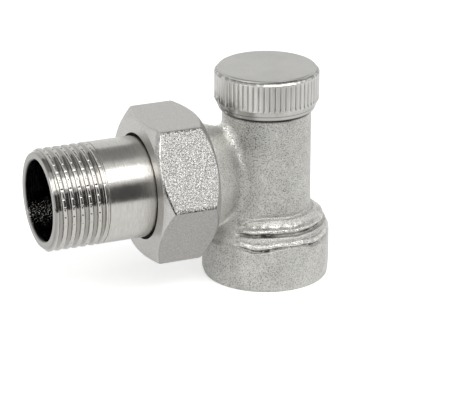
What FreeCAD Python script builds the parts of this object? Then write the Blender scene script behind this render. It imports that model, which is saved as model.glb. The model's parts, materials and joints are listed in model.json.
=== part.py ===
import FreeCAD, Part
import math
import os
from FreeCAD import Vector

# Angled lockshield valve for a radiator, in millimetres.
# The origin is the centre of the pipe port's mouth, on the bottom face of the boss.
# +Z runs up the column, and the tail points towards -X.

# Whole body
AXIS_HEIGHT = 22.9          # tail axis above the bottom face
COLUMN_BASE_RADIUS = 9.3
COLUMN_TOP_RADIUS = 9.2
COLUMN_RISE = 13.1          # rough forged column, from the tail axis up
CAP_THREAD_RADIUS = 8.6     # turned stub above the column
CAP_THREAD_HEIGHT = 5.7
STUB_EDGE_ROUND = 0.3
CHAMBER_RADIUS = 6.4
PORT_RADIUS = 9.316         # minor radius of a G 1/2 female thread
PORT_DEPTH = 10.2
SEAT_BORE_RADIUS = 4.8
SEAT_DROP = 6.1             # seat below the tail axis
SEAT_LIP_WIDTH = 0.6
SEAT_LIP_HEIGHT = 0.5
PORT_END_CONE = 0.8
BRANCH_BORE_RADIUS = 5.2    # waterway next to the chamber
BRANCH_WIDE_RADIUS = 8.0    # waterway next to the union
BRANCH_BORE_STEP = 12.8     # distance of that widening from the column axis
BRANCH_STEP_CONE = 1.2

# Stepped boss round the pipe port: a soft hexagon under two rounded rings
BOSS_ACROSS_FLATS = 26.0
BOSS_TURN = 30.0            # degrees from +X to the middle of a flat
BOSS_CORNER_RADIUS = 13.4   # the corners are turned down to this
BOSS_FOOT_RADIUS = 12.9
BOSS_FOOT_CHAMFER = 1.6     # height of the chamfer that the foot cuts into the corners
BOSS_FOOT_EDGE = 0.2
BOSS_FOOT_ROUND = 1.5
BOSS_EDGE_ROUND = 0.3
BOSS_SHOULDER = 8.95        # top of the corners
RING_FOOT_RISE = 0.8        # from there to the groove under the lower ring
RING_FOOT_RADIUS = 12.7
RING_GROOVE = 0.3           # depth and half width of the groove between the rings
RING_GROOVE_ROUND = 0.1
RING_RADIUS = 12.95         # lower ring
RING_LAND = 0.35
RING_RISE = 1.3
RING_TOP_RADIUS = 12.45
RING_ROUND = 0.35
CROWN_RADIUS = 11.93        # upper ring
CROWN_LAND = 0.5
CROWN_RISE = 1.9
CROWN_FOOT_ROUND = 0.2
CROWN_ROUND = 1.2
COLUMN_ROOT_FILLET = 0.8
WEB_WIDTH = 14.4            # smooth web between the rings and the neck
WEB_HEIGHT = 10.4
WEB_MIDDLE = 13.9
WEB_COVER = 0.1             # how far the web stands over the rings
WEB_ROUND = 1.2

# Neck from the column to the union thread, as sections along the tail axis:
# distance from the column axis, half width, half height, fullness of the oval
NECK_SECTIONS = (
    (17.6, 11.4, 11.4, 2.0),
    (13.5, 9.4, 11.1, 1.95),
    (9.8, 6.7, 10.0, 1.8),
    (6.4, 5.0, 9.4, 1.7),
    (3.0, 4.6, 9.2, 1.6),
)
SECTION_POINTS = 24
NECK_FILLET = 1.8

# Union thread, nut and tail
UNION_THREAD_RADIUS = 12.6  # pitch radius of a G 3/4 thread
UNION_THREAD_START = 17.4   # distance from the column axis
UNION_THREAD_END = 23.4
UNION_THREAD_CHAMFER = 0.6
UNION_THREAD_RUNOUT = 1.2
RUNNING_GAP = 0.06          # radial clearance of what turns or slides
FACE_GAP = 0.05             # play between faces that close on each other

NUT_ACROSS_FLATS = 28.8
NUT_CORNER_RADIUS = 16.5
NUT_REAR = 16.0
NUT_FRONT = 28.6
NUT_WALL = 2.5
NUT_TURN = 2.0              # degrees that the nut stands off flat-on-top
NUT_FRONT_RING_RADIUS = 13.5
NUT_FRONT_CHAMFER = 1.5
NUT_REAR_RING_RADIUS = 13.8
NUT_REAR_CHAMFER = 2.2
NUT_EDGE_ROUND = 0.35
NUT_HOLE_GAP = 0.42         # air between the tail's thread and the nut's hole
NUT_THREAD_LEAD = 0.6

TAIL_RADIUS = 10.478        # major radius of a G 1/2 male thread
TAIL_TUBE_RADIUS = 10.43    # plain tube behind the thread
TAIL_END = 50.0
TAIL_BORE_RADIUS = 8.25
TAIL_INNER_BORE_RADIUS = 7.6
TAIL_BORE_STEP = 24.6
TAIL_BORE_CONE = 1.0
TAIL_THREAD_LENGTH = 11.1
TAIL_RELIEF_WIDTH = 0.5
TAIL_RELIEF_DEPTH = 0.35
TAIL_END_CHAMFER = 0.75
TAIL_MOUTH_ROUND = 0.15
TAIL_COLLAR_RADIUS = 11.9
TAIL_NOSE_RADIUS = 9.6
TAIL_NOSE_LENGTH = 3.4
TAIL_NOSE_CHAMFER = 0.3
TAIL_SEAL_SECTION = 1.0     # thickness of the tail's ring seal
TAIL_SEAL_GROOVE_WIDTH = 1.4

# Headwork inside the column
BONNET_RADIUS = 7.24
BONNET_TOP_DROP = 0.4       # the bonnet ends this far below the stub's top
BONNET_TOP_CHAMFER = 0.5
BONNET_EDGE_ROUND = 0.25
BONNET_SEAL_SECTION = 1.2
BONNET_SEAL_LAND = 0.8
SEAL_EASE = 0.02            # the seal touches its groove without being pressed
BONNET_SLOT_WIDTH = 1.6
BONNET_SLOT_DEPTH = 0.9
SPINDLE_THREAD_RADIUS = 5.0
SPINDLE_STEM_RADIUS = 4.0
SPINDLE_LIFT = 3.0
SPINDLE_TOP_AIR = 0.4       # air left over the open spindle, under the cap's ceiling
SPINDLE_CHAMFER = 0.3
SPINDLE_SEAL_SECTION = 0.92
SPINDLE_SEAL_GROOVE_WIDTH = 1.0
SPINDLE_SEAL_PITCH = 1.5
SPINDLE_SEAL_LAND = 0.3
STEM_BORE_LENGTH = 5.1      # narrow bore of the bonnet, which holds the two stem seals
HEX_SOCKET_WIDTH = 5.0
HEX_SOCKET_DEPTH = 4.5
HEX_SOCKET_LEAD = 0.3

# Plug and washer
WASHER_RADIUS = 5.8
WASHER_THICKNESS = 1.5
WASHER_ROUND = 0.15
PLUG_RADIUS = 5.9
PLUG_THICKNESS = 2.6
PLUG_HUB_RADIUS = 4.9
PLUG_HUB_LENGTH = 4.3
PLUG_ROUND = 0.3
SPINDLE_PIN_RADIUS = 2.5
SPINDLE_FOOT_RADIUS = 3.1
SPINDLE_FOOT_THICKNESS = 1.5
SCREW_RADIUS = 1.5
SCREW_HEAD_RADIUS = 2.9
SCREW_HEAD_HEIGHT = 1.1
SCREW_HEAD_ROUND = 0.4
SCREW_LENGTH = 4.2
SCREW_SLOT_WIDTH = 0.7
SCREW_SLOT_DEPTH = 0.5

# Shield cap
CAP_RADIUS = 10.78
CAP_TOP_THICKNESS = 2.2
CAP_TOP_RADIUS = 10.14      # flat top inside the chamfer
CAP_TOP_CHAMFER = 0.95
CAP_TOP_ROUND = 0.25
CAP_FOOT_RADIUS = 9.9
CAP_FOOT_ROUND = 0.2
CAP_FOOT_GAP = 0.35         # shadow gap between the column and the cap
CAP_BEVEL_HEIGHT = 2.0
CAP_SPLINES = 60
CAP_SPLINE_DEPTH = 0.4
CAP_SPLINE_CREST = 0.62     # share of the pitch that the crest takes
CAP_SPLINE_ROOT = 0.1
CAP_SPLINE_TOP_LAND = 0.15
CAP_SPLINE_BOTTOM_LAND = 0.25
CAP_THREAD_LEAD = 0.3
GASKET_THICKNESS = 1.0
GASKET_INNER_RADIUS = 5.4

# Places that follow from the sizes above
RING_FOOT = BOSS_SHOULDER + RING_FOOT_RISE
RING_LOW = RING_FOOT + RING_GROOVE
RING_HIGH = RING_LOW + RING_LAND + RING_RISE
CROWN_FOOT = RING_HIGH + 2 * RING_GROOVE
CROWN_EDGE = CROWN_FOOT + CROWN_LAND
COLUMN_ROOT = CROWN_EDGE + CROWN_RISE
COLUMN_TOP = AXIS_HEIGHT + COLUMN_RISE
STUB_TOP = COLUMN_TOP + CAP_THREAD_HEIGHT
CAP_CEILING = STUB_TOP + GASKET_THICKNESS
CAP_TOP = CAP_CEILING + CAP_TOP_THICKNESS
CAP_FOOT = COLUMN_TOP + CAP_FOOT_GAP
CAP_BORE_RADIUS = CAP_THREAD_RADIUS + RUNNING_GAP
BONNET_TOP = STUB_TOP - BONNET_TOP_DROP
NUT_SHOULDER = NUT_FRONT - NUT_WALL
COLLAR_FRONT = NUT_SHOULDER - FACE_GAP
COLLAR_REAR = UNION_THREAD_END + FACE_GAP
NOSE_END = COLLAR_REAR - TAIL_NOSE_LENGTH
NOSE_BORE_RADIUS = TAIL_NOSE_RADIUS + RUNNING_GAP
NOSE_BORE_END = NOSE_END - 4 * FACE_GAP
SEAT_HEIGHT = AXIS_HEIGHT - SEAT_DROP
PLUG_BASE = SEAT_HEIGHT + WASHER_THICKNESS
PLUG_HUB_TOP = PLUG_BASE + PLUG_THICKNESS + PLUG_HUB_LENGTH
SPINDLE_FOOT_TOP = PLUG_HUB_TOP - FACE_GAP - (SPINDLE_THREAD_RADIUS - SPINDLE_PIN_RADIUS)
SPINDLE_SHOULDER = PLUG_HUB_TOP + FACE_GAP
SPINDLE_TOP = CAP_CEILING - SPINDLE_TOP_AIR - SPINDLE_LIFT
BONNET_BASE = PLUG_HUB_TOP + SPINDLE_LIFT + 4 * FACE_GAP
STEM_BORE_START = BONNET_TOP - STEM_BORE_LENGTH
SPINDLE_THREAD_TOP = STEM_BORE_START - SPINDLE_LIFT - 2 * FACE_GAP
BORE_END_PAST = 2.0         # how far a cutting tool runs past the metal


def rounded_outline(corners):
    """Closed wire in the XZ plane through (radius, height, rounding) corners."""
    points = [Vector(corner[0], 0, corner[1]) for corner in corners]
    starts = []
    ends = []
    arcs = []
    for index, corner in enumerate(corners):
        here = points[index]
        before = points[index - 1] - here
        after = points[(index + 1) % len(points)] - here
        rounding = corner[2] if len(corner) > 2 else 0
        if rounding == 0:
            starts.append(here)
            ends.append(here)
            arcs.append(None)
            continue
        half_angle = before.getAngle(after) / 2
        reach = min(rounding / math.tan(half_angle), 0.45 * before.Length, 0.45 * after.Length)
        radius = reach * math.tan(half_angle)
        before.normalize()
        after.normalize()
        inward = before + after
        inward.normalize()
        middle = here + inward * (radius / math.sin(half_angle) - radius)
        starts.append(here + before * reach)
        ends.append(here + after * reach)
        arcs.append(Part.Arc(starts[-1], middle, ends[-1]))
    edges = []
    for index in range(len(points)):
        if arcs[index] is not None:
            edges.append(arcs[index].toShape())
        following = starts[(index + 1) % len(points)]
        if (following - ends[index]).Length > 1e-6:
            edges.append(Part.makeLine(ends[index], following))
    return Part.Wire(edges)


def turned(corners):
    """Solid turned round the Z axis from a half section."""
    face = Part.Face(rounded_outline(corners))
    solid = face.revolve(Vector(0, 0, 0), Vector(0, 0, 1), 360)
    return solid


def along_tail(solid):
    """Lay a part made up the Z axis along the tail, its +Z pointing towards -X."""
    laid = solid.copy()
    laid.rotate(Vector(0, 0, 0), Vector(0, 1, 0), -90)
    laid.translate(Vector(0, 0, AXIS_HEIGHT))
    return laid


def cylinder(radius, low, high):
    """Upright cylinder between two heights."""
    return Part.makeCylinder(radius, high - low, Vector(0, 0, low))


def hexagon_prism(apothem, low, high, turn=0.0):
    """Upright hexagonal prism, with the middle of one flat at the angle given in degrees."""
    corner_radius = apothem / math.cos(math.pi / 6)
    corners = []
    for index in range(7):
        angle = math.radians(turn) + math.pi * (2 * index + 1) / 6
        corners.append(Vector(corner_radius * math.cos(angle), corner_radius * math.sin(angle), low))
    return Part.Face(Part.makePolygon(corners)).extrude(Vector(0, 0, high - low))


def slot(length, width, low, high):
    """Straight slot cutter across the Z axis."""
    return Part.makeBox(length, width, high - low, Vector(-length / 2, -width / 2, low))


def ring_seal(mean_radius, section, height):
    """Round ring seal about the Z axis."""
    return Part.makeTorus(mean_radius, section / 2, Vector(0, 0, height))


def clean(solid):
    """Merge the faces that one surface was split into."""
    return solid.removeSplitter()


def boss():
    """Boss round the pipe port: a hexagon with turned corners, under two rounded rings."""
    root_top = COLUMN_ROOT + 3 * COLUMN_ROOT_FILLET
    profile = turned([
        (0, 0),
        (BOSS_FOOT_RADIUS, 0, BOSS_FOOT_EDGE),
        (BOSS_CORNER_RADIUS, BOSS_FOOT_CHAMFER, BOSS_FOOT_ROUND),
        (BOSS_CORNER_RADIUS, BOSS_SHOULDER, BOSS_EDGE_ROUND),
        (RING_FOOT_RADIUS, RING_FOOT, RING_GROOVE_ROUND),
        (RING_RADIUS, RING_LOW, RING_GROOVE_ROUND),
        (RING_RADIUS, RING_LOW + RING_LAND, RING_ROUND),
        (RING_TOP_RADIUS, RING_HIGH, RING_ROUND),
        (CROWN_RADIUS - RING_GROOVE, RING_HIGH + RING_GROOVE, RING_GROOVE_ROUND),
        (CROWN_RADIUS, CROWN_FOOT, CROWN_FOOT_ROUND),
        (CROWN_RADIUS, CROWN_EDGE, CROWN_ROUND),
        (COLUMN_BASE_RADIUS, COLUMN_ROOT, COLUMN_ROOT_FILLET),
        (COLUMN_BASE_RADIUS, root_top),
        (0, root_top),
    ])
    flats = hexagon_prism(BOSS_ACROSS_FLATS / 2, -1, root_top + 1, BOSS_TURN)
    return profile.common(flats)


def web():
    """Smooth web under the neck, where the rings of the boss fade out."""
    web_top = COLUMN_ROOT + 1.5 * COLUMN_ROOT_FILLET
    shoulder = turned([
        (0, BOSS_SHOULDER),
        (BOSS_ACROSS_FLATS / 2, BOSS_SHOULDER),
        (BOSS_ACROSS_FLATS / 2, RING_LOW + RING_LAND, WEB_ROUND),
        (RING_TOP_RADIUS + WEB_COVER, RING_HIGH, WEB_ROUND),
        (CROWN_RADIUS + WEB_COVER, CROWN_EDGE, CROWN_ROUND),
        (COLUMN_BASE_RADIUS, web_top),
        (0, web_top),
    ])
    ellipse = Part.Face(Part.Wire(Part.Ellipse(
        Vector(0, WEB_WIDTH / 2, WEB_MIDDLE), Vector(0, 0, WEB_MIDDLE + WEB_HEIGHT / 2),
        Vector(0, 0, WEB_MIDDLE)).toShape()))
    return shoulder.common(ellipse.extrude(Vector(-2 * BOSS_CORNER_RADIUS, 0, 0)))


def neck_section(distance, half_width, half_height, fullness):
    """Closed oval at a distance out along the tail, as a superellipse of the given fullness.

    Its first point is the lowest one, so that the neck's seam line ends up inside the boss.
    """
    points = []
    for index in range(SECTION_POINTS):
        angle = 2 * math.pi * index / SECTION_POINTS - math.pi / 2
        across = math.copysign(abs(math.cos(angle)) ** (2 / fullness), math.cos(angle))
        up = math.copysign(abs(math.sin(angle)) ** (2 / fullness), math.sin(angle))
        points.append(Vector(-distance, half_width * across, AXIS_HEIGHT + half_height * up))
    curve = Part.BSplineCurve()
    curve.interpolate(Points=points, PeriodicFlag=True)
    return Part.Wire(curve.toShape())


def neck():
    """Neck that flares from a tall oval at the column to a round at the union thread."""
    sections = [neck_section(*section) for section in NECK_SECTIONS]
    return Part.makeLoft(sections, True, False)


def column():
    """Forged column, with its slight draft, from inside the boss up to the turned stub."""
    return Part.makeCone(COLUMN_BASE_RADIUS, COLUMN_TOP_RADIUS, COLUMN_TOP, Vector(0, 0, 0))


def on_column(point):
    """True for a point on the column's outside."""
    share = point.z / COLUMN_TOP
    radius = COLUMN_BASE_RADIUS + share * (COLUMN_TOP_RADIUS - COLUMN_BASE_RADIUS)
    return abs(math.hypot(point.x, point.y) - radius) < 0.01


def in_neck_seam(edge):
    """True for the edges where the neck runs into the column."""
    points = edge.discretize(7)
    heights = [point.z for point in points]
    between = min(heights) > 0.1 and max(heights) < COLUMN_TOP - 0.1
    branch_side = max(point.x for point in points) < 0
    return between and branch_side and all(on_column(point) for point in points)


def forged_outside():
    """Outside of the forging, with the neck blended into the column."""
    joined = column().fuse([neck()])
    seam = [edge for edge in joined.Edges if in_neck_seam(edge)]
    blended = joined.makeFillet(NECK_FILLET, seam)
    return blended.fuse([boss(), web()])


def valve_body():
    """Forged body: boss, column, neck, union thread and every bore."""
    union_thread = along_tail(turned([
        (0, UNION_THREAD_START - 1.0),
        (UNION_THREAD_RADIUS - UNION_THREAD_RUNOUT, UNION_THREAD_START - UNION_THREAD_RUNOUT / 3),
        (UNION_THREAD_RADIUS, UNION_THREAD_START),
        (UNION_THREAD_RADIUS, UNION_THREAD_END - UNION_THREAD_CHAMFER),
        (UNION_THREAD_RADIUS - UNION_THREAD_CHAMFER, UNION_THREAD_END),
        (0, UNION_THREAD_END),
    ]))
    stub = turned([
        (0, COLUMN_TOP - 1),
        (CAP_THREAD_RADIUS, COLUMN_TOP - 1),
        (CAP_THREAD_RADIUS, STUB_TOP, STUB_EDGE_ROUND),
        (0, STUB_TOP),
    ])
    outside = forged_outside().fuse([union_thread, stub])
    lip_radius = SEAT_BORE_RADIUS + SEAT_LIP_WIDTH
    floor = SEAT_HEIGHT - SEAT_LIP_HEIGHT
    upright_bores = turned([
        (0, -BORE_END_PAST),
        (PORT_RADIUS, -BORE_END_PAST),
        (PORT_RADIUS, PORT_DEPTH),
        (SEAT_BORE_RADIUS, PORT_DEPTH + PORT_END_CONE),
        (SEAT_BORE_RADIUS, SEAT_HEIGHT),
        (lip_radius, SEAT_HEIGHT),
        (lip_radius, floor),
        (CHAMBER_RADIUS, floor),
        (CHAMBER_RADIUS, BONNET_BASE),
        (BONNET_RADIUS + RUNNING_GAP, BONNET_BASE),
        (BONNET_RADIUS + RUNNING_GAP, STUB_TOP + BORE_END_PAST),
        (0, STUB_TOP + BORE_END_PAST),
    ])
    branch_bores = along_tail(turned([
        (0, 0),
        (BRANCH_BORE_RADIUS, 0),
        (BRANCH_BORE_RADIUS, BRANCH_BORE_STEP),
        (BRANCH_WIDE_RADIUS, BRANCH_BORE_STEP + BRANCH_STEP_CONE),
        (BRANCH_WIDE_RADIUS, NOSE_BORE_END),
        (NOSE_BORE_RADIUS, NOSE_BORE_END),
        (NOSE_BORE_RADIUS, UNION_THREAD_END + BORE_END_PAST),
        (0, UNION_THREAD_END + BORE_END_PAST),
    ]))
    branch_bores = branch_bores.cut(cylinder(lip_radius, 0, SEAT_HEIGHT))
    return clean(outside.cut([upright_bores, branch_bores]))


def union_nut():
    """Hexagon union nut, chamfered at both ends, with its inner shoulder for the tail."""
    hole_radius = TAIL_RADIUS + NUT_HOLE_GAP
    thread_radius = UNION_THREAD_RADIUS + RUNNING_GAP
    blank = turned([
        (hole_radius, NUT_FRONT),
        (hole_radius, NUT_SHOULDER),
        (thread_radius, NUT_SHOULDER),
        (thread_radius, NUT_REAR + NUT_THREAD_LEAD),
        (thread_radius + NUT_THREAD_LEAD, NUT_REAR),
        (NUT_REAR_RING_RADIUS, NUT_REAR, NUT_EDGE_ROUND),
        (NUT_CORNER_RADIUS, NUT_REAR + NUT_REAR_CHAMFER, NUT_EDGE_ROUND),
        (NUT_CORNER_RADIUS, NUT_FRONT - NUT_FRONT_CHAMFER, NUT_EDGE_ROUND),
        (NUT_FRONT_RING_RADIUS, NUT_FRONT, NUT_EDGE_ROUND),
    ])
    hexagon = hexagon_prism(NUT_ACROSS_FLATS / 2, NUT_REAR - 1, NUT_FRONT + 1, -NUT_TURN)
    return clean(along_tail(blank.common(hexagon)))


def union_tail():
    """Union tail: tube with its plain thread land, collar behind the nut, nose with a seal groove."""
    thread_end = TAIL_END - TAIL_THREAD_LENGTH
    relief_radius = TAIL_RADIUS - TAIL_RELIEF_DEPTH
    groove_radius = NOSE_BORE_RADIUS - TAIL_SEAL_SECTION - 2 * FACE_GAP
    groove_low = NOSE_END + (TAIL_NOSE_LENGTH - TAIL_SEAL_GROOVE_WIDTH) / 2
    groove_high = groove_low + TAIL_SEAL_GROOVE_WIDTH
    tail = turned([
        (TAIL_INNER_BORE_RADIUS, NOSE_END),
        (TAIL_NOSE_RADIUS - TAIL_NOSE_CHAMFER, NOSE_END),
        (TAIL_NOSE_RADIUS, NOSE_END + TAIL_NOSE_CHAMFER),
        (TAIL_NOSE_RADIUS, groove_low),
        (groove_radius, groove_low),
        (groove_radius, groove_high),
        (TAIL_NOSE_RADIUS, groove_high),
        (TAIL_NOSE_RADIUS, COLLAR_REAR),
        (TAIL_COLLAR_RADIUS, COLLAR_REAR),
        (TAIL_COLLAR_RADIUS, COLLAR_FRONT),
        (TAIL_TUBE_RADIUS, COLLAR_FRONT),
        (TAIL_TUBE_RADIUS, thread_end - TAIL_RELIEF_WIDTH),
        (relief_radius, thread_end - TAIL_RELIEF_WIDTH),
        (relief_radius, thread_end),
        (TAIL_RADIUS, thread_end),
        (TAIL_RADIUS, TAIL_END - TAIL_END_CHAMFER),
        (TAIL_RADIUS - TAIL_END_CHAMFER, TAIL_END),
        (TAIL_BORE_RADIUS, TAIL_END, TAIL_MOUTH_ROUND),
        (TAIL_BORE_RADIUS, TAIL_BORE_STEP),
        (TAIL_INNER_BORE_RADIUS, TAIL_BORE_STEP - TAIL_BORE_CONE),
    ])
    return along_tail(tail)


def tail_o_ring():
    """Ring seal in the groove of the tail's nose."""
    mean_radius = NOSE_BORE_RADIUS - FACE_GAP - TAIL_SEAL_SECTION / 2
    return along_tail(ring_seal(mean_radius, TAIL_SEAL_SECTION, NOSE_END + TAIL_NOSE_LENGTH / 2))


def spindle_seal_heights():
    """Middle heights of the two stem seals in the bonnet."""
    lowest = STEM_BORE_START + SPINDLE_SEAL_LAND + SPINDLE_SEAL_GROOVE_WIDTH / 2
    return (lowest, lowest + SPINDLE_SEAL_PITCH)


def bonnet_seal_height():
    """Middle height of the seal between the bonnet and the column."""
    return BONNET_BASE + BONNET_SEAL_LAND + BONNET_SEAL_SECTION / 2 + FACE_GAP


def bonnet():
    """Bonnet screwed into the column: threaded below, with two seal grooves above."""
    blank = turned([
        (SPINDLE_THREAD_RADIUS + RUNNING_GAP, BONNET_BASE),
        (BONNET_RADIUS, BONNET_BASE),
        (BONNET_RADIUS, BONNET_TOP, BONNET_EDGE_ROUND),
        (SPINDLE_STEM_RADIUS + RUNNING_GAP + BONNET_TOP_CHAMFER, BONNET_TOP),
        (SPINDLE_STEM_RADIUS + RUNNING_GAP, BONNET_TOP - BONNET_TOP_CHAMFER),
        (SPINDLE_STEM_RADIUS + RUNNING_GAP, STEM_BORE_START),
        (SPINDLE_THREAD_RADIUS + RUNNING_GAP, STEM_BORE_START),
    ])
    half = BONNET_SEAL_SECTION / 2 + FACE_GAP
    outer_groove = cylinder(BONNET_RADIUS + 1, bonnet_seal_height() - half, bonnet_seal_height() + half)
    groove_floor = BONNET_RADIUS + RUNNING_GAP - BONNET_SEAL_SECTION
    outer_groove = outer_groove.cut(cylinder(groove_floor, BONNET_BASE, BONNET_TOP))
    stem_groove_radius = SPINDLE_STEM_RADIUS + SPINDLE_SEAL_SECTION + 2 * FACE_GAP
    half = SPINDLE_SEAL_GROOVE_WIDTH / 2
    stem_grooves = [cylinder(stem_groove_radius, height - half, height + half)
                    for height in spindle_seal_heights()]
    driver_slot = slot(3 * BONNET_RADIUS, BONNET_SLOT_WIDTH, BONNET_TOP - BONNET_SLOT_DEPTH,
                       BONNET_TOP + 1)
    return clean(blank.cut([outer_groove, driver_slot] + stem_grooves))


def bonnet_o_ring():
    """Ring seal between the bonnet and the column."""
    mean_radius = BONNET_RADIUS + RUNNING_GAP - BONNET_SEAL_SECTION / 2
    return ring_seal(mean_radius, BONNET_SEAL_SECTION - SEAL_EASE, bonnet_seal_height())


def spindle_o_ring(index):
    """One of the two stem seals, counted from the lower one."""
    mean_radius = SPINDLE_STEM_RADIUS + FACE_GAP + SPINDLE_SEAL_SECTION / 2
    return ring_seal(mean_radius, SPINDLE_SEAL_SECTION, spindle_seal_heights()[index])


def spindle():
    """Spindle with its thread, its hexagon socket and the pin that carries the plug."""
    blank = turned([
        (0, SPINDLE_FOOT_TOP - SPINDLE_FOOT_THICKNESS),
        (SPINDLE_FOOT_RADIUS, SPINDLE_FOOT_TOP - SPINDLE_FOOT_THICKNESS),
        (SPINDLE_FOOT_RADIUS, SPINDLE_FOOT_TOP),
        (SPINDLE_PIN_RADIUS, SPINDLE_FOOT_TOP),
        (SPINDLE_PIN_RADIUS, SPINDLE_SHOULDER),
        (SPINDLE_THREAD_RADIUS - SPINDLE_CHAMFER, SPINDLE_SHOULDER),
        (SPINDLE_THREAD_RADIUS, SPINDLE_SHOULDER + SPINDLE_CHAMFER),
        (SPINDLE_THREAD_RADIUS, SPINDLE_THREAD_TOP),
        (SPINDLE_STEM_RADIUS, SPINDLE_THREAD_TOP),
        (SPINDLE_STEM_RADIUS, SPINDLE_TOP - SPINDLE_CHAMFER),
        (SPINDLE_STEM_RADIUS - SPINDLE_CHAMFER, SPINDLE_TOP),
        (0, SPINDLE_TOP),
    ])
    socket = hexagon_prism(HEX_SOCKET_WIDTH / 2, SPINDLE_TOP - HEX_SOCKET_DEPTH, SPINDLE_TOP + 1)
    corner_radius = HEX_SOCKET_WIDTH / 2 / math.cos(math.pi / 6)
    lead = Part.makeCone(corner_radius - HEX_SOCKET_LEAD, corner_radius + HEX_SOCKET_LEAD / 4,
                         1.25 * HEX_SOCKET_LEAD, Vector(0, 0, SPINDLE_TOP - HEX_SOCKET_LEAD))
    return clean(blank.cut([socket, lead]))


def valve_plug():
    """Plug that swivels on the spindle's foot and carries the washer."""
    foot_high = SPINDLE_FOOT_TOP + FACE_GAP
    foot_low = SPINDLE_FOOT_TOP - SPINDLE_FOOT_THICKNESS - FACE_GAP
    pin_radius = SPINDLE_PIN_RADIUS + RUNNING_GAP
    foot_radius = SPINDLE_FOOT_RADIUS + RUNNING_GAP
    screw_top = SEAT_HEIGHT + SCREW_LENGTH
    return turned([
        (SCREW_RADIUS, PLUG_BASE),
        (PLUG_RADIUS, PLUG_BASE, PLUG_ROUND),
        (PLUG_RADIUS, PLUG_BASE + PLUG_THICKNESS, PLUG_ROUND),
        (PLUG_HUB_RADIUS, PLUG_BASE + PLUG_THICKNESS, 2 * PLUG_ROUND),
        (PLUG_HUB_RADIUS, PLUG_HUB_TOP, PLUG_ROUND),
        (pin_radius, PLUG_HUB_TOP),
        (pin_radius, foot_high),
        (foot_radius, foot_high),
        (foot_radius, foot_low),
        (0, foot_low),
        (0, screw_top),
        (SCREW_RADIUS, screw_top),
    ])


def plug_washer():
    """Flat rubber washer that closes on the seat."""
    return turned([
        (SCREW_RADIUS + RUNNING_GAP, SEAT_HEIGHT),
        (WASHER_RADIUS, SEAT_HEIGHT, WASHER_ROUND),
        (WASHER_RADIUS, PLUG_BASE, WASHER_ROUND),
        (SCREW_RADIUS + RUNNING_GAP, PLUG_BASE),
    ])


def plug_washer_screw():
    """Slotted screw that holds the washer under the plug."""
    blank = turned([
        (0, SEAT_HEIGHT - SCREW_HEAD_HEIGHT),
        (SCREW_HEAD_RADIUS, SEAT_HEIGHT - SCREW_HEAD_HEIGHT, SCREW_HEAD_ROUND),
        (SCREW_HEAD_RADIUS, SEAT_HEIGHT),
        (SCREW_RADIUS, SEAT_HEIGHT),
        (SCREW_RADIUS, SEAT_HEIGHT + SCREW_LENGTH),
        (0, SEAT_HEIGHT + SCREW_LENGTH),
    ])
    head_low = SEAT_HEIGHT - SCREW_HEAD_HEIGHT
    return blank.cut(slot(3 * SCREW_HEAD_RADIUS, SCREW_SLOT_WIDTH, head_low - 1,
                          head_low + SCREW_SLOT_DEPTH))


def splined_prism(low, high):
    """Prism whose outline carries the cap's straight splines."""
    pitch = 2 * math.pi / CAP_SPLINES
    root_radius = CAP_RADIUS - CAP_SPLINE_DEPTH
    half_crest = CAP_SPLINE_CREST / 2
    half_space = (1 - CAP_SPLINE_ROOT) / 2
    corners = []
    for index in range(CAP_SPLINES):
        for share, radius in ((-half_space, root_radius), (-half_crest, CAP_RADIUS),
                              (half_crest, CAP_RADIUS), (half_space, root_radius)):
            angle = (index + share) * pitch
            corners.append(Vector(radius * math.cos(angle), radius * math.sin(angle), low))
    corners.append(corners[0])
    return Part.Face(Part.makePolygon(corners)).extrude(Vector(0, 0, high - low))


def shield_cap():
    """Turned cap with a splined grip, hollow over the stub of the body."""
    blank = turned([
        (0, CAP_CEILING),
        (CAP_BORE_RADIUS, CAP_CEILING),
        (CAP_BORE_RADIUS, CAP_FOOT + CAP_THREAD_LEAD),
        (CAP_BORE_RADIUS + CAP_THREAD_LEAD, CAP_FOOT),
        (CAP_FOOT_RADIUS, CAP_FOOT, CAP_FOOT_ROUND),
        (CAP_RADIUS, CAP_FOOT + CAP_BEVEL_HEIGHT, CAP_FOOT_ROUND),
        (CAP_RADIUS, CAP_TOP - CAP_TOP_CHAMFER, CAP_TOP_ROUND),
        (CAP_TOP_RADIUS, CAP_TOP, CAP_TOP_ROUND),
        (0, CAP_TOP),
    ])
    low = CAP_FOOT + CAP_BEVEL_HEIGHT + CAP_SPLINE_BOTTOM_LAND
    high = CAP_TOP - CAP_TOP_CHAMFER - CAP_SPLINE_TOP_LAND
    grooves = cylinder(CAP_RADIUS + 1, low, high).cut(splined_prism(low - 1, high + 1))
    return clean(blank.cut(grooves))


def cap_gasket():
    """Flat gasket between the cap's ceiling and the top of the stub."""
    return turned([
        (GASKET_INNER_RADIUS, STUB_TOP),
        (CAP_BORE_RADIUS - 2 * FACE_GAP, STUB_TOP),
        (CAP_BORE_RADIUS - 2 * FACE_GAP, CAP_CEILING),
        (GASKET_INNER_RADIUS, CAP_CEILING),
    ])


PARTS = {
    "valve_body": valve_body,
    "union_nut": union_nut,
    "union_tail": union_tail,
    "tail_o_ring": tail_o_ring,
    "bonnet": bonnet,
    "bonnet_o_ring": bonnet_o_ring,
    "spindle": spindle,
    "spindle_o_ring_lower": lambda: spindle_o_ring(0),
    "spindle_o_ring_upper": lambda: spindle_o_ring(1),
    "valve_plug": valve_plug,
    "plug_washer": plug_washer,
    "plug_washer_screw": plug_washer_screw,
    "shield_cap": shield_cap,
    "cap_gasket": cap_gasket,
}

os.makedirs("parts", exist_ok=True)
for name, make in PARTS.items():
    shape = make()
    print(name, "valid", shape.isValid(), "solids", len(shape.Solids), "volume", round(shape.Volume, 1))
    shape.exportStep("parts/" + name + ".step")
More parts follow.
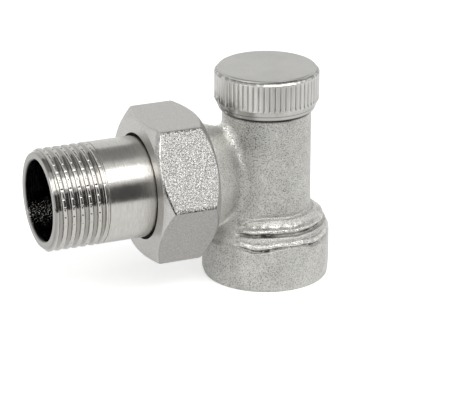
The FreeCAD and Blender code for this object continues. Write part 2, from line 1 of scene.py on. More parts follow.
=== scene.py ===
# %% [markdown]
# # Angled radiator valve
# A nickel-plated brass valve stands on its pipe port. The column carries a splined
# shield cap, and a neck leads to a hexagon union nut and a threaded tail. The solid
# model is loaded as a fixed frame, so nothing has to be fitted here: each cell below
# gives one piece its real surface, in the place where the frame has it.

# %% Load the frame
import json
import math

import bmesh
import bpy
import numpy as np
from mathutils import Matrix, Vector

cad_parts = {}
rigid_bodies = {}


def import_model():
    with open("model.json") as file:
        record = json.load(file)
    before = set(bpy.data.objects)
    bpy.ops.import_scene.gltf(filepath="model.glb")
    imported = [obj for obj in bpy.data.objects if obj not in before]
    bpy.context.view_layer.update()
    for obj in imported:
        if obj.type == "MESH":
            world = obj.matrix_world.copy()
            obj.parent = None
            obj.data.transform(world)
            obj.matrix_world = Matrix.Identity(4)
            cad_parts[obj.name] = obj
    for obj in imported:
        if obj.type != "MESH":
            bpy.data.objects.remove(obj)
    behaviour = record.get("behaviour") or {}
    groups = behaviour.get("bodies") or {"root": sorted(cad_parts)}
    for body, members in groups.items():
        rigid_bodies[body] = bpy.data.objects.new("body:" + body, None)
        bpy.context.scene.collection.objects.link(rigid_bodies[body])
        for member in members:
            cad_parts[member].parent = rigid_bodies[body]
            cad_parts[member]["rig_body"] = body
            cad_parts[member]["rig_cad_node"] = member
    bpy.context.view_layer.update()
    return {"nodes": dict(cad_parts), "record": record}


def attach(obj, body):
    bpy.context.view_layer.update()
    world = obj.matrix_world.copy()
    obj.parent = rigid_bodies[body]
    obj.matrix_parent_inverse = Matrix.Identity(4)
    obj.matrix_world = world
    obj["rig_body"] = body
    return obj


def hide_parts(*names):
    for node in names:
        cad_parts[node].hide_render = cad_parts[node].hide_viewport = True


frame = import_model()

nodes = frame["nodes"]
MM = 0.001                  # a millimetre in Blender's metres
TURN = 2 * math.pi
AXIS_HEIGHT = 22.9          # tail axis above the table, in millimetres
print("pieces in the frame:", sorted(nodes))

# %% [markdown]
# ## Camera
# The valve is seen through a long lens, a little from the left of the front and about
# 21 degrees above the table. A camera could be turned by hand until its picture fits.
# Here the angles were worked out from the ellipses of the tail, the nut and the cap,
# because the shape of a circle's ellipse tells from where the circle is seen. The three
# directions below are the camera's right, up and backward axes.

# %% Camera
AZIMUTH, ELEVATION, ROLL = np.radians((-23.445, 21.384, 0.159))
DISTANCE = 536.89           # camera to the tail's axis, in millimetres
PIXELS_PER_MM = 4.82        # at that distance
IMAGE_WIDTH = 450
OFFSET_RIGHT, OFFSET_UP = 8.508, 7.249
backward = np.array([math.sin(AZIMUTH) * math.cos(ELEVATION),
                     -math.cos(AZIMUTH) * math.cos(ELEVATION), math.sin(ELEVATION)])
level = np.array([math.cos(AZIMUTH), math.sin(AZIMUTH), 0.0])
upright = np.cross(backward, level)
right = level * math.cos(ROLL) + upright * math.sin(ROLL)
up = upright * math.cos(ROLL) - level * math.sin(ROLL)
place = np.array([0, 0, AXIS_HEIGHT]) + DISTANCE * backward - OFFSET_RIGHT * right - OFFSET_UP * up
camera = bpy.data.objects.new("camera", bpy.data.cameras.new("camera"))
camera.data.sensor_width = 36.0
camera.data.lens = DISTANCE * PIXELS_PER_MM * camera.data.sensor_width / IMAGE_WIDTH
camera.data.clip_start, camera.data.clip_end = 0.01, 20.0
turning = np.array([right, up, backward]).T.tolist()
rows = [[*row, shift] for row, shift in zip(turning, (place * MM).tolist())]
camera.matrix_world = Matrix([*rows, [0, 0, 0, 1]])
bpy.context.scene.collection.objects.link(camera)
bpy.context.scene.camera = camera
print("lens", round(camera.data.lens, 1), "mm")

# %% [markdown]
# ## Writing materials as sums
# A finish of worn metal takes dozens of small nodes. They could be wired by hand in the
# shader editor, but then nobody can read how the pattern comes about. The first class
# below wraps one output of a node, so that ordinary Python sums such as
# `1 - mask * 0.4` add the Math nodes themselves, and the second one adds every other
# node through a single method. Every pattern reads Object coordinates, taken here in
# millimetres, so that it stays in place when its piece moves.

# %% Sums of signals
class Signal:
    """One number or colour that flows through a tree of nodes."""

    def __init__(self, tree, socket):
        self.tree = tree
        self.socket = socket

    def maths(self, operation, other=0.0):
        """A Math node with this signal first and the other one second."""
        return self.tree.node("ShaderNodeMath", {"operation": operation}, {0: self, 1: other})

    def __add__(self, other):
        return self.maths("ADD", other)

    def __sub__(self, other):
        return self.maths("SUBTRACT", other)

    def __mul__(self, other):
        return self.maths("MULTIPLY", other)

    def __truediv__(self, other):
        return self.maths("DIVIDE", other)

    def __pow__(self, other):
        return self.maths("POWER", other)

    def __rsub__(self, other):
        return self.tree.node("ShaderNodeMath", {"operation": "SUBTRACT"}, {0: other, 1: self})

    __radd__ = __add__
    __rmul__ = __mul__


# %% Trees of nodes
class Tree:
    """The nodes of a material or of the world."""

    def __init__(self, owner):
        owner.use_nodes = True
        self.nodes = owner.node_tree.nodes
        self.links = owner.node_tree.links

    def node(self, kind, settings, values, output=0):
        """Any node: its settings first, then the values or signals of its sockets."""
        made = self.nodes.new(kind)
        for key, value in settings.items():
            setattr(made, key, value)
        for key, value in values.items():
            self.feed(made, key, value)
        return Signal(self, made.outputs[output])

    def feed(self, node, key, value):
        """Link a signal to a socket, or set the socket to a plain value."""
        if isinstance(value, Signal):
            self.links.new(value.socket, node.inputs[key])
        else:
            node.inputs[key].default_value = value

    def rays(self):
        """Three signals that are 1 for rays from the camera, a mirror, or through glass."""
        return [self.node("ShaderNodeLightPath", {}, {}, f"Is {kind} Ray")
                for kind in ("Camera", "Glossy", "Transmission")]


# %% Finishes
class Finish(Tree):
    """A material with one main shader."""

    def __init__(self, name, colour, metallic=1.0):
        self.name = name
        self.colour = colour
        self.material = bpy.data.materials.new(name)
        super().__init__(self.material)
        self.paint(Base_Color=(*colour, 1.0), Metallic=metallic)

    def paint(self, **sockets):
        """Feed signals or plain values to sockets of the main shader."""
        for key, value in sockets.items():
            self.feed(self.nodes["Principled BSDF"], key.replace("_", " "), value)

    def place(self, scale=(1, 1, 1)):
        """Object coordinates in millimetres, stretched by the given scale."""
        raw = self.node("ShaderNodeTexCoord", {}, {}, "Object")
        return self.node("ShaderNodeMapping", {}, {"Vector": raw, "Scale": [value / MM for value in scale]})

    def axes(self, place):
        """The three coordinates of a place, each as its own signal."""
        return [self.node("ShaderNodeSeparateXYZ", {}, {0: place}, letter) for letter in "XYZ"]

    def noise(self, place, per_mm, detail=2.0, roughness=0.5):
        """Smooth random signal around 0.5 with so many lumps per millimetre."""
        return self.node("ShaderNodeTexNoise", {}, {"Vector": place, "Scale": per_mm, "Detail": detail,
                                                    "Roughness": roughness})

    def between(self, signal, low, high, to_low=0.0, to_high=1.0):
        """Stretch a signal from one range to another, and hold it at the ends."""
        return self.node("ShaderNodeMapRange", {"interpolation_type": "SMOOTHSTEP"},
                         {0: signal, 1: low, 2: high, 3: to_low, 4: to_high})

    def band(self, signal, start, full, falling, end):
        """A mask that rises from start to full, is 1 up to falling, and is gone at end."""
        return self.between(signal, start, full) * self.between(signal, end, falling)

    def shade(self, amount):
        """The finish's colour, made lighter or darker by a signal."""
        return self.node("ShaderNodeVectorMath", {"operation": "SCALE"}, {0: self.colour, 3: amount})

    def relief(self, height, depth_mm):
        """Raise the surface by a signal, so many millimetres for a step from 0 to 1."""
        self.paint(Normal=self.node("ShaderNodeBump", {}, {"Height": height, "Distance": depth_mm * MM},
                                    "Normal"))


def from_axis(first, second):
    """Distance from an axis: the root of the sum of both squares."""
    return (first * first + second * second) ** 0.5


FINISHES = {}


def keep(finish):
    """Store a finish under its name, which is also the name of its slot."""
    FINISHES[finish.name] = finish.material
    print(finish.name, "has", len(finish.nodes), "nodes")


# %% [markdown]
# ## Forged nickel
# The body is a hot forging that was blasted with shot and then nickel plated. The
# plating keeps every small dent, so the metal looks like fine grey sand. A picture of
# such metal could be laid over it, but it would blur close up and show seams. Noises
# have neither fault: two fine ones make the grain and the dents, and two slow ones let
# the tone wander. The beads of the boss are rubbed smoother in patches, where a painted
# highlight also lightens them, and the seam and the top of the neck carry painted
# highlights. The neck is painted lighter, and the tone lighter away from the neck. Painted
# shade darkens the grooves of the boss and the dip between its beads, the column beside
# the neck's top and the rim under the cap. Each of these is a mask, a signal that is 1
# there and 0 elsewhere.

# %% Forged nickel: grain
forged = Finish("forged_nickel", (0.515, 0.51, 0.485))
here = forged.place()
forward, sideways, height = forged.axes(here)
spread = from_axis(forward, sideways)
grain = forged.noise(here, 3.3, roughness=0.6)
dents = forged.noise(here, 4.6, 1.0)
drift = forged.noise(here, 0.16)
cloud = forged.noise(here, 0.45)
lumps = forged.noise(here, 0.8)
pits = forged.between(dents, 0.50, 0.38)
print("the grain takes", len(forged.nodes), "nodes")

# %% Forged nickel: beads and grooves of the boss
# The lower bead and its grooves dip at the hexagon's six corners, so their height is
# measured from a wave round the axis. The neck hides them on its own side.
sixfold = (sideways.maths("ARCTAN2", forward) * 6.0).maths("COSINE")
ring_height = height + forged.between(sixfold, -0.2, 1.0) * 0.5
step_height = (height + ring_height) * 0.5
facing = forward / spread
away_from_neck = forged.between(facing, -0.88, -0.70)
lower_bead = forged.band(ring_height, 9.6, 9.8, 10.6, 10.8)
upper_bead = forged.band(height, 12.4, 12.7, 14.5, 14.8)
rings = (lower_bead + upper_bead) * forged.between(spread, 10.2, 10.8) * away_from_neck
# Painted shade darkens the dip between the two beads.
valley_shade = forged.band(height, 13.15, 13.4, 13.75, 14.0) * rings
# Rubbed patches of the beads are smoother, and a painted highlight makes them lighter.
worn_and_sheen = rings * forged.between(lumps, 0.30, 0.62)
# Painted shade: the grooves and thin steps below are darkened, in broken lines.
upper_groove = (forged.band(height, 11.75, 11.95, 12.20, 12.38) * away_from_neck
                * forged.between(sixfold, -0.7, 0.7, 0.3, 1.0))
lower_groove = (forged.band(ring_height, 9.36, 9.52, 9.70, 9.84) * forged.between(facing, -0.97, -0.90)
                * forged.between(sixfold, -0.9, 0.5, 0.25, 1.0))
thin_step = (forged.band(step_height, 10.64, 10.76, 10.86, 10.98)
             + forged.band(height, 14.75, 14.9, 15.05, 15.25) * 0.5)
thin_step = thin_step * away_from_neck * forged.between(sixfold, -0.8, 0.6, 0.3, 1.0)
groove_shade = ((upper_groove + lower_groove + thin_step * 0.5) * forged.between(spread, 10.9, 11.4)
           * forged.between(lumps, 0.66, 0.46))
print("with the boss", len(forged.nodes), "nodes")

# %% Forged nickel: neck and rim
# The seam between column and neck leans, so its distance is measured from a slanted line.
# Painted light: the neck is painted lighter, and the top of the neck beside the column gets a painted
# highlight.
neck = forged.between(forward, -8.8, -10.8) * forged.between(height, 9.0, 10.6)
crown_highlight = forged.between(forward, -8.6, -10.2) * forged.between(height, 27.0, 31.0)
seam = (forward + 7.0 + (height - 24.0) * 0.31).maths("ABSOLUTE")
# A painted highlight runs along the seam in patches; there the metal is also glossier.
seam_highlight = (forged.between(seam, 0.50, 0.10) * forged.band(height, 24.0, 27.0, 33.0, 34.0)
        * forged.between(lumps, 0.38, 0.55) * forged.between(spread, 11.0, 10.2))
# Painted shade darkens the column beside the top of the neck.
hollow_shade = (forged.band(forward, -8.4, -7.0, -6.0, -2.0) * forged.between(height, 27.5, 31.5)
          * forged.between(spread, 10.6, 9.8))
# Painted shade darkens the rim under the cap.
under_cap_shade = forged.band(height, 35.50, 35.85, 36.5, 37.2)
print("with neck and rim", len(forged.nodes), "nodes")

# %% Forged nickel: tone, gloss and relief
# The tone is painted lighter towards the side away from the neck, and more steeply low on the boss.
painted_light_slope = 0.007 + forged.between(height, 9.5, 8.0) * 0.010
tone = (1.11 + drift * 0.18 + (cloud - 0.5) * 0.34 + (grain - 0.5) * 0.60
        + forward.maths("MINIMUM", 2.0) * painted_light_slope)
tone = tone + neck * 0.40 + seam_highlight * 0.55 + crown_highlight * 0.30 - hollow_shade * 0.30 - valley_shade * 0.22
tone = (tone + worn_and_sheen * 0.26 - pits * (0.54 - worn_and_sheen * 0.20)) * (1 - under_cap_shade * 0.7) * (1 - groove_shade * 0.88)
forged.paint(Base_Color=forged.shade(tone),
             Roughness=0.34 + grain * 0.14 + drift * 0.06 - worn_and_sheen * 0.26 - seam_highlight * 0.18 - crown_highlight * 0.10)
forged.relief((grain * 0.5 + dents * 0.5) * (1 - worn_and_sheen * 0.5) + lumps * (worn_and_sheen + seam_highlight) * 0.9, 0.26)
keep(forged)

# %% [markdown]
# ## Nut nickel
# The nut was cut from drawn bar. Its end and most flats are satin, while the upper flat
# towards the viewer keeps a coarse skin of slanted grains, whose glitter is painted into
# the colour: darker flats with light spots. One noise for the whole nut would make it look
# like the body. So two noises are mixed by masks, one for each flat: the coarse one reads
# coordinates that are turned by 45 degrees and squeezed, which slants its grains. The
# rough flat also gets painted shade as a dark line along the rim and the corners, and a
# painted highlight as a bright line at the top. The lower front flat is painted darker.

# %% Nut nickel: grains and flats
# Each flat is known by the cosine and sine of its angle from +Z.
ROUGH_FLATS = ((0.469, 0.883), (-0.530, 0.848), (0.469, -0.883))
satin = Finish("nut_nickel", (0.53, 0.52, 0.50))
here = satin.place()
forward, across, above = satin.axes(here)
distance_out = forward * -1.0
height = above - AXIS_HEIGHT
spread = from_axis(across, height)
slant = satin.node("ShaderNodeCombineXYZ", {}, {
    0: (distance_out + height) * 1.25, 1: (distance_out - height) * 0.70, 2: across * 1.2})
pebble = satin.noise(slant, 3.1, 1.0)
fine = satin.noise(here, 4.6, 1.0)
# Painted glints: the grains' glitter is painted into the colour, over rough flats that are darker.
painted_glints = satin.between(pebble, 0.38, 0.60)
reaches = [height * lift - across * side for lift, side in ROUGH_FLATS]
upper_front, lower_front, behind = (satin.between(reach, 14.14, 14.26) for reach in reaches)
rough_flat = upper_front + lower_front * 0.15 + behind
print("grains and flats take", len(satin.nodes), "nodes")

# %% Nut nickel: edges, tone and relief
# The rim is where the spread comes near the chamfer's cone.
chamfer = 16.5 - (distance_out - 27.0) * 1.458
rim = upper_front * satin.between(chamfer - spread, 0.42, 0.14)
# Painted shade: a dark line along the lower half of the rim and broken dashes along the top and bottom
# corners; a painted highlight along the upper half of the rim.
corner = satin.between(height, 0.15, -0.25) + satin.between(height, 13.6, 13.9)
corner_shade = upper_front * corner * satin.between(pebble, 0.62, 0.42)
crease_shade = rim * satin.between(height, 7.0, 4.0) + corner_shade * 0.8
painted_glint_line = rim * satin.between(height, 4.5, 7.5)
# A strip of the chamfer beside the rough flat is darker, with painted glints.
beside = (satin.between(reaches[0], 13.0, 13.4) * (1 - upper_front)
          * satin.between(height, 0.0, 3.5) * satin.between(distance_out, 27.1, 27.4))
# The lower front flat is painted darker as shade.
tone = (0.62 + fine * 0.68 - rough_flat * 0.29 + painted_glints * rough_flat * 0.50 - beside * 0.45
        + painted_glints * beside * 0.40 - lower_front * 0.31 - crease_shade * 0.68 + painted_glint_line * 0.50)
satin.paint(Base_Color=satin.shade(tone),
            Roughness=0.34 - rough_flat * 0.20 + fine * 0.05 - painted_glint_line * 0.10)
satin.relief(pebble * (0.04 + rough_flat * 0.96) + fine * 0.10, 0.24)
keep(satin)

# %% [markdown]
# ## Polished nickel
# The tail comes off the lathe bright, so it mirrors the room in long bands. An
# anisotropic shader could draw them, but the fine rings that the tool leaves do it too,
# and they can be seen one by one. A noise stretched round the axis gives such rings,
# because only the place along the axis changes it quickly. The plain part behind the
# thread is brushed with wider streaks. The valleys of the thread and the bore are
# painted darker as shade, and low in the bore the tool shook and left bright chatter marks.

# %% Polished nickel
bright = Finish("polished_nickel", (0.60, 0.585, 0.55))
here = bright.place()
forward, across, above = bright.axes(here)
height = above - AXIS_HEIGHT
spread = from_axis(across, height)
rings = bright.noise(bright.place((6.0, 0.12, 0.12)), 1.0, roughness=0.7)
streaks = bright.noise(bright.place((9.0, 0.5, 0.5)), 1.0, 3.0, 0.7)
marks = bright.noise(bright.place((4.5, 3.5, 3.5)), 1.0, roughness=0.6)
smear = bright.noise(here, 0.35)
inside = bright.between(spread, 8.6, 8.3)
plain = bright.between(forward, -39.3, -38.9)
valley_shade = bright.between(spread, 10.42, 9.9) * (1 - plain)
chatter = bright.between(marks, 0.52, 0.68) * inside * bright.band(height, -7.4, -6.2, -3.8, -2.4)
# Painted shade: the bore and the thread's valleys are darker.
tone = 0.81 + smear * 0.10 - inside * 0.52 - valley_shade * 0.34 + (streaks - 0.5) * (0.10 + plain * 0.60)
bright.paint(Base_Color=bright.shade(tone + chatter * 0.6),
             Roughness=0.06 + rings * 0.06 + plain * (0.05 + smear * 0.10) + inside * 0.06 + chatter * 0.3)
bright.relief(rings * (0.7 + inside * 3.0) + smear * 0.4 + plain * streaks * 0.8, 0.035)
keep(bright)

# %% [markdown]
# ## Turned nickel
# The cap was turned, splined and plated, and hands have worn it. Its flat top has fine
# rings round the middle, over which a faint fan of painted light spreads. The rings could
# be drawn as circles, but a noise that reads only the distance from the axis and the
# height is round by itself, and irregular as a tool leaves it. Masks add what is found at
# one height: painted shade at the lower end, a scribed line above it, and small chips
# along the bevel. The side is painted lighter than the top, and painted shade darkens the
# lower bevel. Patches low on the left are darker.

# %% Turned nickel
turned = Finish("turned_nickel", (0.48, 0.475, 0.455))
here = turned.place()
forward, sideways, height = turned.axes(here)
spread = from_axis(forward, sideways)
lathe = turned.node("ShaderNodeCombineXYZ", {}, {0: spread * 5.0, 1: height * 5.0})
rings = turned.noise(lathe, 1.0, roughness=0.6)
streaks = turned.noise(turned.place((1.1, 1.1, 0.12)), 1.0, roughness=0.6)
drift = turned.noise(here, 0.18)
grain = turned.noise(here, 5.0, 1.0)
chips = turned.noise(here, 0.9, roughness=0.6)
# Painted shade darkens the lower end of the cap.
foot_shade = turned.between(height, 36.62, 36.42)
scribed = turned.band(height, 37.12, 37.20, 37.28, 37.36)
bevel = turned.band(height, 43.9, 44.05, 44.45, 44.55)
rim = turned.between(spread, 10.2, 10.5) * turned.between(height, 44.6, 44.4)
# A faint fan of painted light on the top, by the angle round the axis.
fan = ((sideways.maths("ARCTAN2", forward) + 1.98) * 2.0).maths("COSINE")
# Patches low on the left of the side are darker.
left = turned.between((sideways * 0.398 - forward * 0.917) / spread, 0.35, 0.90)
left_dark_patches = left * turned.between(height, 41.0, 38.4) * turned.between(chips, 0.36, 0.54)
# Painted light: the side is lighter than the top, and painted shade darkens the lower bevel.
side = (turned.between(height, 44.6, 44.2) * 0.26 - turned.between(height, 38.3, 38.0) * 0.24
        - turned.between(height, 44.6, 44.8) * fan * turned.between(spread, 1.0, 6.0) * 0.035)
tone = 0.80 + drift * 0.24 + grain * 0.05 + side + (streaks - 0.5) * rim * 0.6
tone = (tone * (1 - foot_shade * 0.6) * (1 - scribed * 0.6) * (1 - left_dark_patches * 0.75)
        * (1 - bevel * turned.between(chips, 0.60, 0.45) * 0.45))
turned.paint(Base_Color=turned.shade(tone), Roughness=0.20 + rings * 0.08 + streaks * 0.14)
turned.relief(rings * 0.4 + grain * 0.6, 0.010)
keep(turned)

# %% [markdown]
# ## Brass, rubber and fibre
# Inside, nothing is plated: the spindle, the bonnet and the plug are bare turned
# brass, the seals are black rubber, and the gasket under the cap is red-brown fibre.
# They show only when the valve is opened up, so each could be one flat colour. Real
# brass, rubber and fibre all vary a little, though, and one function with one noise is
# enough to say how much.

# %% Brass, rubber and fibre
def plain_finish(name, colour, roughness, metallic, per_mm, depth_mm):
    """A finish whose tone, gloss and height wander with one noise."""
    finish = Finish(name, colour, metallic)
    grain = finish.noise(finish.place(), per_mm, 3.0, 0.6)
    finish.paint(Base_Color=finish.shade(0.85 + grain * 0.3), Roughness=roughness - 0.06 + grain * 0.12)
    finish.relief(grain, depth_mm)
    keep(finish)


plain_finish("machined_brass", (0.72, 0.53, 0.24), 0.24, 1.0, 1.6, 0.012)
plain_finish("seal_rubber", (0.030, 0.030, 0.032), 0.55, 0.0, 3.0, 0.02)
plain_finish("gasket_fibre", (0.25, 0.065, 0.04), 0.80, 0.0, 2.2, 0.04)
for part in frame["record"]["subparts"]:
    node = nodes[part["node"]]
    node.data.materials.clear()
    node.data.materials.append(FINISHES[part["material_slot"]])
print("finishes:", sorted(FINISHES))

# %% [markdown]
# ## Forged body
# A forging has no sharp edges: the metal flowed round every corner. It could be built
# again by hand from a cage of a few faces, but then its sizes would drift from the
# solid's. So the solid's own skin is copied, rebuilt from small cubes of equal size, and
# smoothed, which rounds all its edges evenly. The web under the neck is smoothed much
# longer, so that it flows into the column and the boss. Then the points are moved by
# formulas: the grooves and beads of the boss, and the threads inside the port and under
# the nut and cap.

# %% Helpers for meshes
def soften(mesh):
    """Merge points that lie together, and shade the surface smoothly."""
    work = bmesh.new()
    work.from_mesh(mesh)
    bmesh.ops.remove_doubles(work, verts=work.verts, dist=1e-7)
    work.to_mesh(mesh)
    work.free()
    smooth_shading(mesh)
    mesh.update()


def smooth_shading(mesh):
    """Let the light run over the edges between all faces."""
    mesh.polygons.foreach_set("use_smooth", np.ones(len(mesh.polygons), bool))


def bake(piece):
    """Give a piece the mesh that its modifiers make, and take the modifiers away."""
    made = bpy.data.meshes.new_from_object(piece.evaluated_get(bpy.context.evaluated_depsgraph_get()))
    piece.modifiers.clear()
    piece.data = made
    return made


def spots_of(mesh, kind):
    """The places or the normals of a mesh's points, one row for each."""
    values = np.empty(len(mesh.vertices) * 3, np.float32)
    mesh.vertices.foreach_get(kind, values)
    return values.reshape(-1, 3).astype(float)


def finish_piece(piece, body, slot, replaced):
    """Tie a piece to the body that it moves with, hide the node that it stands for, and give it its finish.
    """
    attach(piece, body)
    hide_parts(replaced)
    piece.data.materials.clear()
    piece.data.materials.append(FINISHES[slot])


# %% Curves for rings and threads
PIPE_PITCH = 1.814          # rise of the port's, the nut's and the tail's thread in one turn
CAP_PITCH = 1.0             # rise of the thread under the cap in one turn
TINY = 1e-6                 # keeps a division by a radius away from zero


def smooth_step(ramp):
    """Three times the square of a share, less twice its cube."""
    return ramp * ramp * (3 - 2 * ramp)


def fade(value, start, end):
    """Smooth step from 0 at the start to 1 at the end, and level outside them."""
    return smooth_step(np.clip((value - start) / (end - start), 0, 1))


def ridge(share):
    """Depth of a thread at a share of its pitch: 0 on the flat crest, 1 at the root.

    The flank between two flats of 0.14 of half a pitch is two thirds a straight ramp and
    one third a smooth step.
    """
    flat = 0.14
    away = np.abs((share + 0.5) % 1.0 - 0.5) * 2
    ramp = np.clip((away - flat) / (1 - 2 * flat), 0, 1)
    return smooth_step(ramp) * 0.35 + ramp * 0.65


print("a thread halfway down its flank is", ridge(0.25), "deep")

# %% Forged body: skin of cubes
VOXEL = 0.2                 # edge of the cubes, in millimetres
body = nodes["valve_body"].copy()
body.data = nodes["valve_body"].data.copy()
body.name = "forged_body"
body.data.name = "forged_body"
body.parent = None
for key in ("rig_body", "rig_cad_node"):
    del body[key]
bpy.context.scene.collection.objects.link(body)
soften(body.data)
remesh = body.modifiers.new("cubes", "REMESH")
remesh.mode = "VOXEL"
remesh.voxel_size = VOXEL * MM
smooth = body.modifiers.new("smooth", "SMOOTH")
smooth.factor = 0.5
smooth.iterations = 3
baked = bake(body)
print("the skin of cubes has", len(baked.vertices), "points")

# %% Forged body: web under the neck
# The web's weight is 1 under the neck and fades towards the column, the boss and the
# union. A vertex group takes it in eight levels.
LEVELS = 8
x, y, z = spots_of(baked, "co").T / MM
spread = np.hypot(x, y)
to_neck = -x / np.maximum(spread, TINY)
web = np.where(z < 14.5, fade(to_neck, 0.76, 0.84), fade(to_neck, 0.40, 0.60))
web *= fade(z, 9.0, 9.8) * fade(z, 27.0, 21.0) * fade(x, -17.0, -14.0) * (spread > 8.6)
group = body.vertex_groups.new(name="web")
for rank in range(1, LEVELS + 1):
    group.add(np.flatnonzero(np.rint(web * LEVELS) == rank).tolist(), rank / LEVELS, "REPLACE")
flow = body.modifiers.new("flow", "SMOOTH")
flow.vertex_group = "web"
flow.factor = 0.5
flow.iterations = 260
baked = bake(body)
body.vertex_groups.clear()
print("points in the web:", int((web > 0).sum()))

# %% Forged body: rings of the boss
# The skin sinks or swells, along its normals, by a curve through these heights. Then the
# rings wander up and down a little, and the lower one dips at each corner of the hexagon.
RING_HEIGHTS = [9.2, 9.6, 9.85, 10.3, 10.8, 11.0, 11.7, 12.1, 12.4, 12.9, 13.45, 13.9, 14.3, 14.9, 15.6]
RING_SHIFTS = [0.0, -0.24, 0.12, 0.20, -0.12, 0.05, 0.02, -0.44, 0.0, 0.17, -0.16, 0.04, 0.24, -0.20, 0.0]
x, y, z = spots_of(baked, "co").T / MM
outwards = spots_of(baked, "normal")
around = np.arctan2(y, x)
spread = np.hypot(x, y)
away_from_neck = 1 - fade(-x / np.maximum(spread, TINY), 0.70, 0.88)
on_rings = (spread > 11.4 - fade(z, 12.3, 15.0) * 2.6) * away_from_neck
wander = 0.10 * np.sin(3 * around + 0.6) + 0.07 * np.sin(7 * around + 2.1) + 0.04 * np.sin(17 * around + 4.0)
dip = 0.5 * fade(np.cos(6 * around), -0.2, 1.0) * fade(z, 11.4, 10.2)
swell = np.interp(z, RING_HEIGHTS, RING_SHIFTS, 0.0, 0.0) * on_rings
x, y, z = np.stack([x, y, z]) + outwards.T * swell
z = z + (wander - dip) * on_rings * fade(z, 8.4, 9.4) * fade(z, 15.9, 14.8)
print("the rings move", int((on_rings > 0).sum()), "points")

# %% Forged body: threads
# A thread's depth is the ridge at the place along the axis in pitches, less the share of
# a turn. The port's and the stub's run round the column, the union's round the tail.
spread = np.hypot(x, y)
port = (spread > 8.8) & (spread < 9.8) & (z < 10.0)
port_depth = port * ridge(z / PIPE_PITCH - around / TURN) * fade(z, 0.5, 1.2) * fade(z, 9.8, 8.8)
stub = (spread > 8.2) & (z > 36.1)
stub_depth = stub * ridge(z / CAP_PITCH - around / TURN) * fade(z, 36.2, 36.8) * fade(z, 41.3, 40.9)
share = 1 + (port_depth * 1.05 - stub_depth * 0.50) / np.maximum(spread, TINY)
x, y = x * share, y * share
across, lift = y, z - AXIS_HEIGHT
ring = np.hypot(across, lift)
turn_tail = np.arctan2(across, lift)
union = (ring > 12.1) & (x < -17.5) & (x > -23.3)
union_depth = union * ridge(-x / PIPE_PITCH - turn_tail / TURN) * fade(-x, 17.5, 18.2) * 0.75
share = 1 - union_depth / np.maximum(ring, TINY)
y, z = across * share, np.maximum(AXIS_HEIGHT + lift * share, 0.0)
baked.vertices.foreach_set("co", (np.stack([x, y, z], -1) * MM).astype(np.float32).ravel())
print("the threads move", int((port | stub | union).sum()), "points")

# %% Forged body: fewer triangles
MOST_TRIANGLES = 190000
triangles = 2 * len(baked.polygons)
thin = body.modifiers.new("thin", "DECIMATE")
thin.ratio = min(1.0, MOST_TRIANGLES / triangles)
thinned = bake(body)
smooth_shading(thinned)
finish_piece(body, "body", "forged_nickel", "valve_body")
print("forged body: cubes gave", triangles, "triangles, kept", len(thinned.polygons))

# %% [markdown]
# ## Surfaces from formulas
# Nut, tail and cap are turned on a lathe, so the surface of each is a half section
# carried round an axis. Blender's Screw modifier could do that, but then the threads,
# flats and splines would have to be cut in afterwards. Here the whole surface is one
# array of points: rows follow an outline of corners, some of them rounded, and columns
# go round the axis. Threads, flats and splines only change the radius in that array.

# %% Outline of a turned piece
def rounded_corner(before, here, after, rounding):
    """Seven points of the circular arc that touches both lines of a corner.

    The arc's centre lies on the line that halves the angle between the two sides, at the
    radius divided by the sine of half that angle.
    """
    before, after = before - here, after - here
    length_before, length_after = np.linalg.norm(before), np.linalg.norm(after)
    before, after = before / length_before, after / length_after
    half = math.acos(float(np.clip(before @ after, -1, 1))) / 2
    reach = min(rounding / math.tan(half), 0.45 * length_before, 0.45 * length_after)
    radius = reach * math.tan(half)
    middle = (before + after) / np.linalg.norm(before + after)
    centre = here + middle * radius / math.sin(half)
    start, end = here + before * reach - centre, here + after * reach - centre
    sweep = math.atan2(start[0] * end[1] - start[1] * end[0], float(start @ end))
    angles = np.linspace(0, sweep, 7)[:, None]
    return centre + np.cos(angles) * start + np.sin(angles) * np.array([-start[1], start[0]])


def outline(corners, step, closed=True):
    """Points along straight lines between (place, radius, rounding) corners.

    Between two corners the points divide the line into pieces no longer than the step.
    """
    spots = [np.array(corner[:2], float) for corner in corners]
    count = len(corners)
    stations = []
    for index, corner in enumerate(corners):
        if len(corner) == 2:
            stations.append(spots[index][None])
            continue
        before, after = spots[index - 1], spots[(index + 1) % count]
        stations.append(rounded_corner(before, spots[index], after, corner[2]))
    runs = []
    for index in range(count if closed else count - 1):
        runs.append(stations[index])
        first, last = stations[index][-1], stations[(index + 1) % count][0]
        pieces = max(1, int(np.ceil(np.linalg.norm(last - first) / step)))
        shares = np.arange(1, pieces)[:, None] / pieces
        runs.append(first + shares * (last - first))
    if not closed:
        runs.append(stations[-1])
    return np.concatenate(runs)


# %% From an array of points to a piece
def round_tail(place, radius, angle):
    """Points round the tail's axis: the place goes out along it, towards -X.

    Across is the radius times the angle's sine, and the height is the axis height plus
    the radius times its cosine, so the angle counts from +Z.
    """
    place, radius, angle = np.broadcast_arrays(place, radius, angle)
    return np.stack([-place, radius * np.sin(angle), AXIS_HEIGHT + radius * np.cos(angle)], -1)


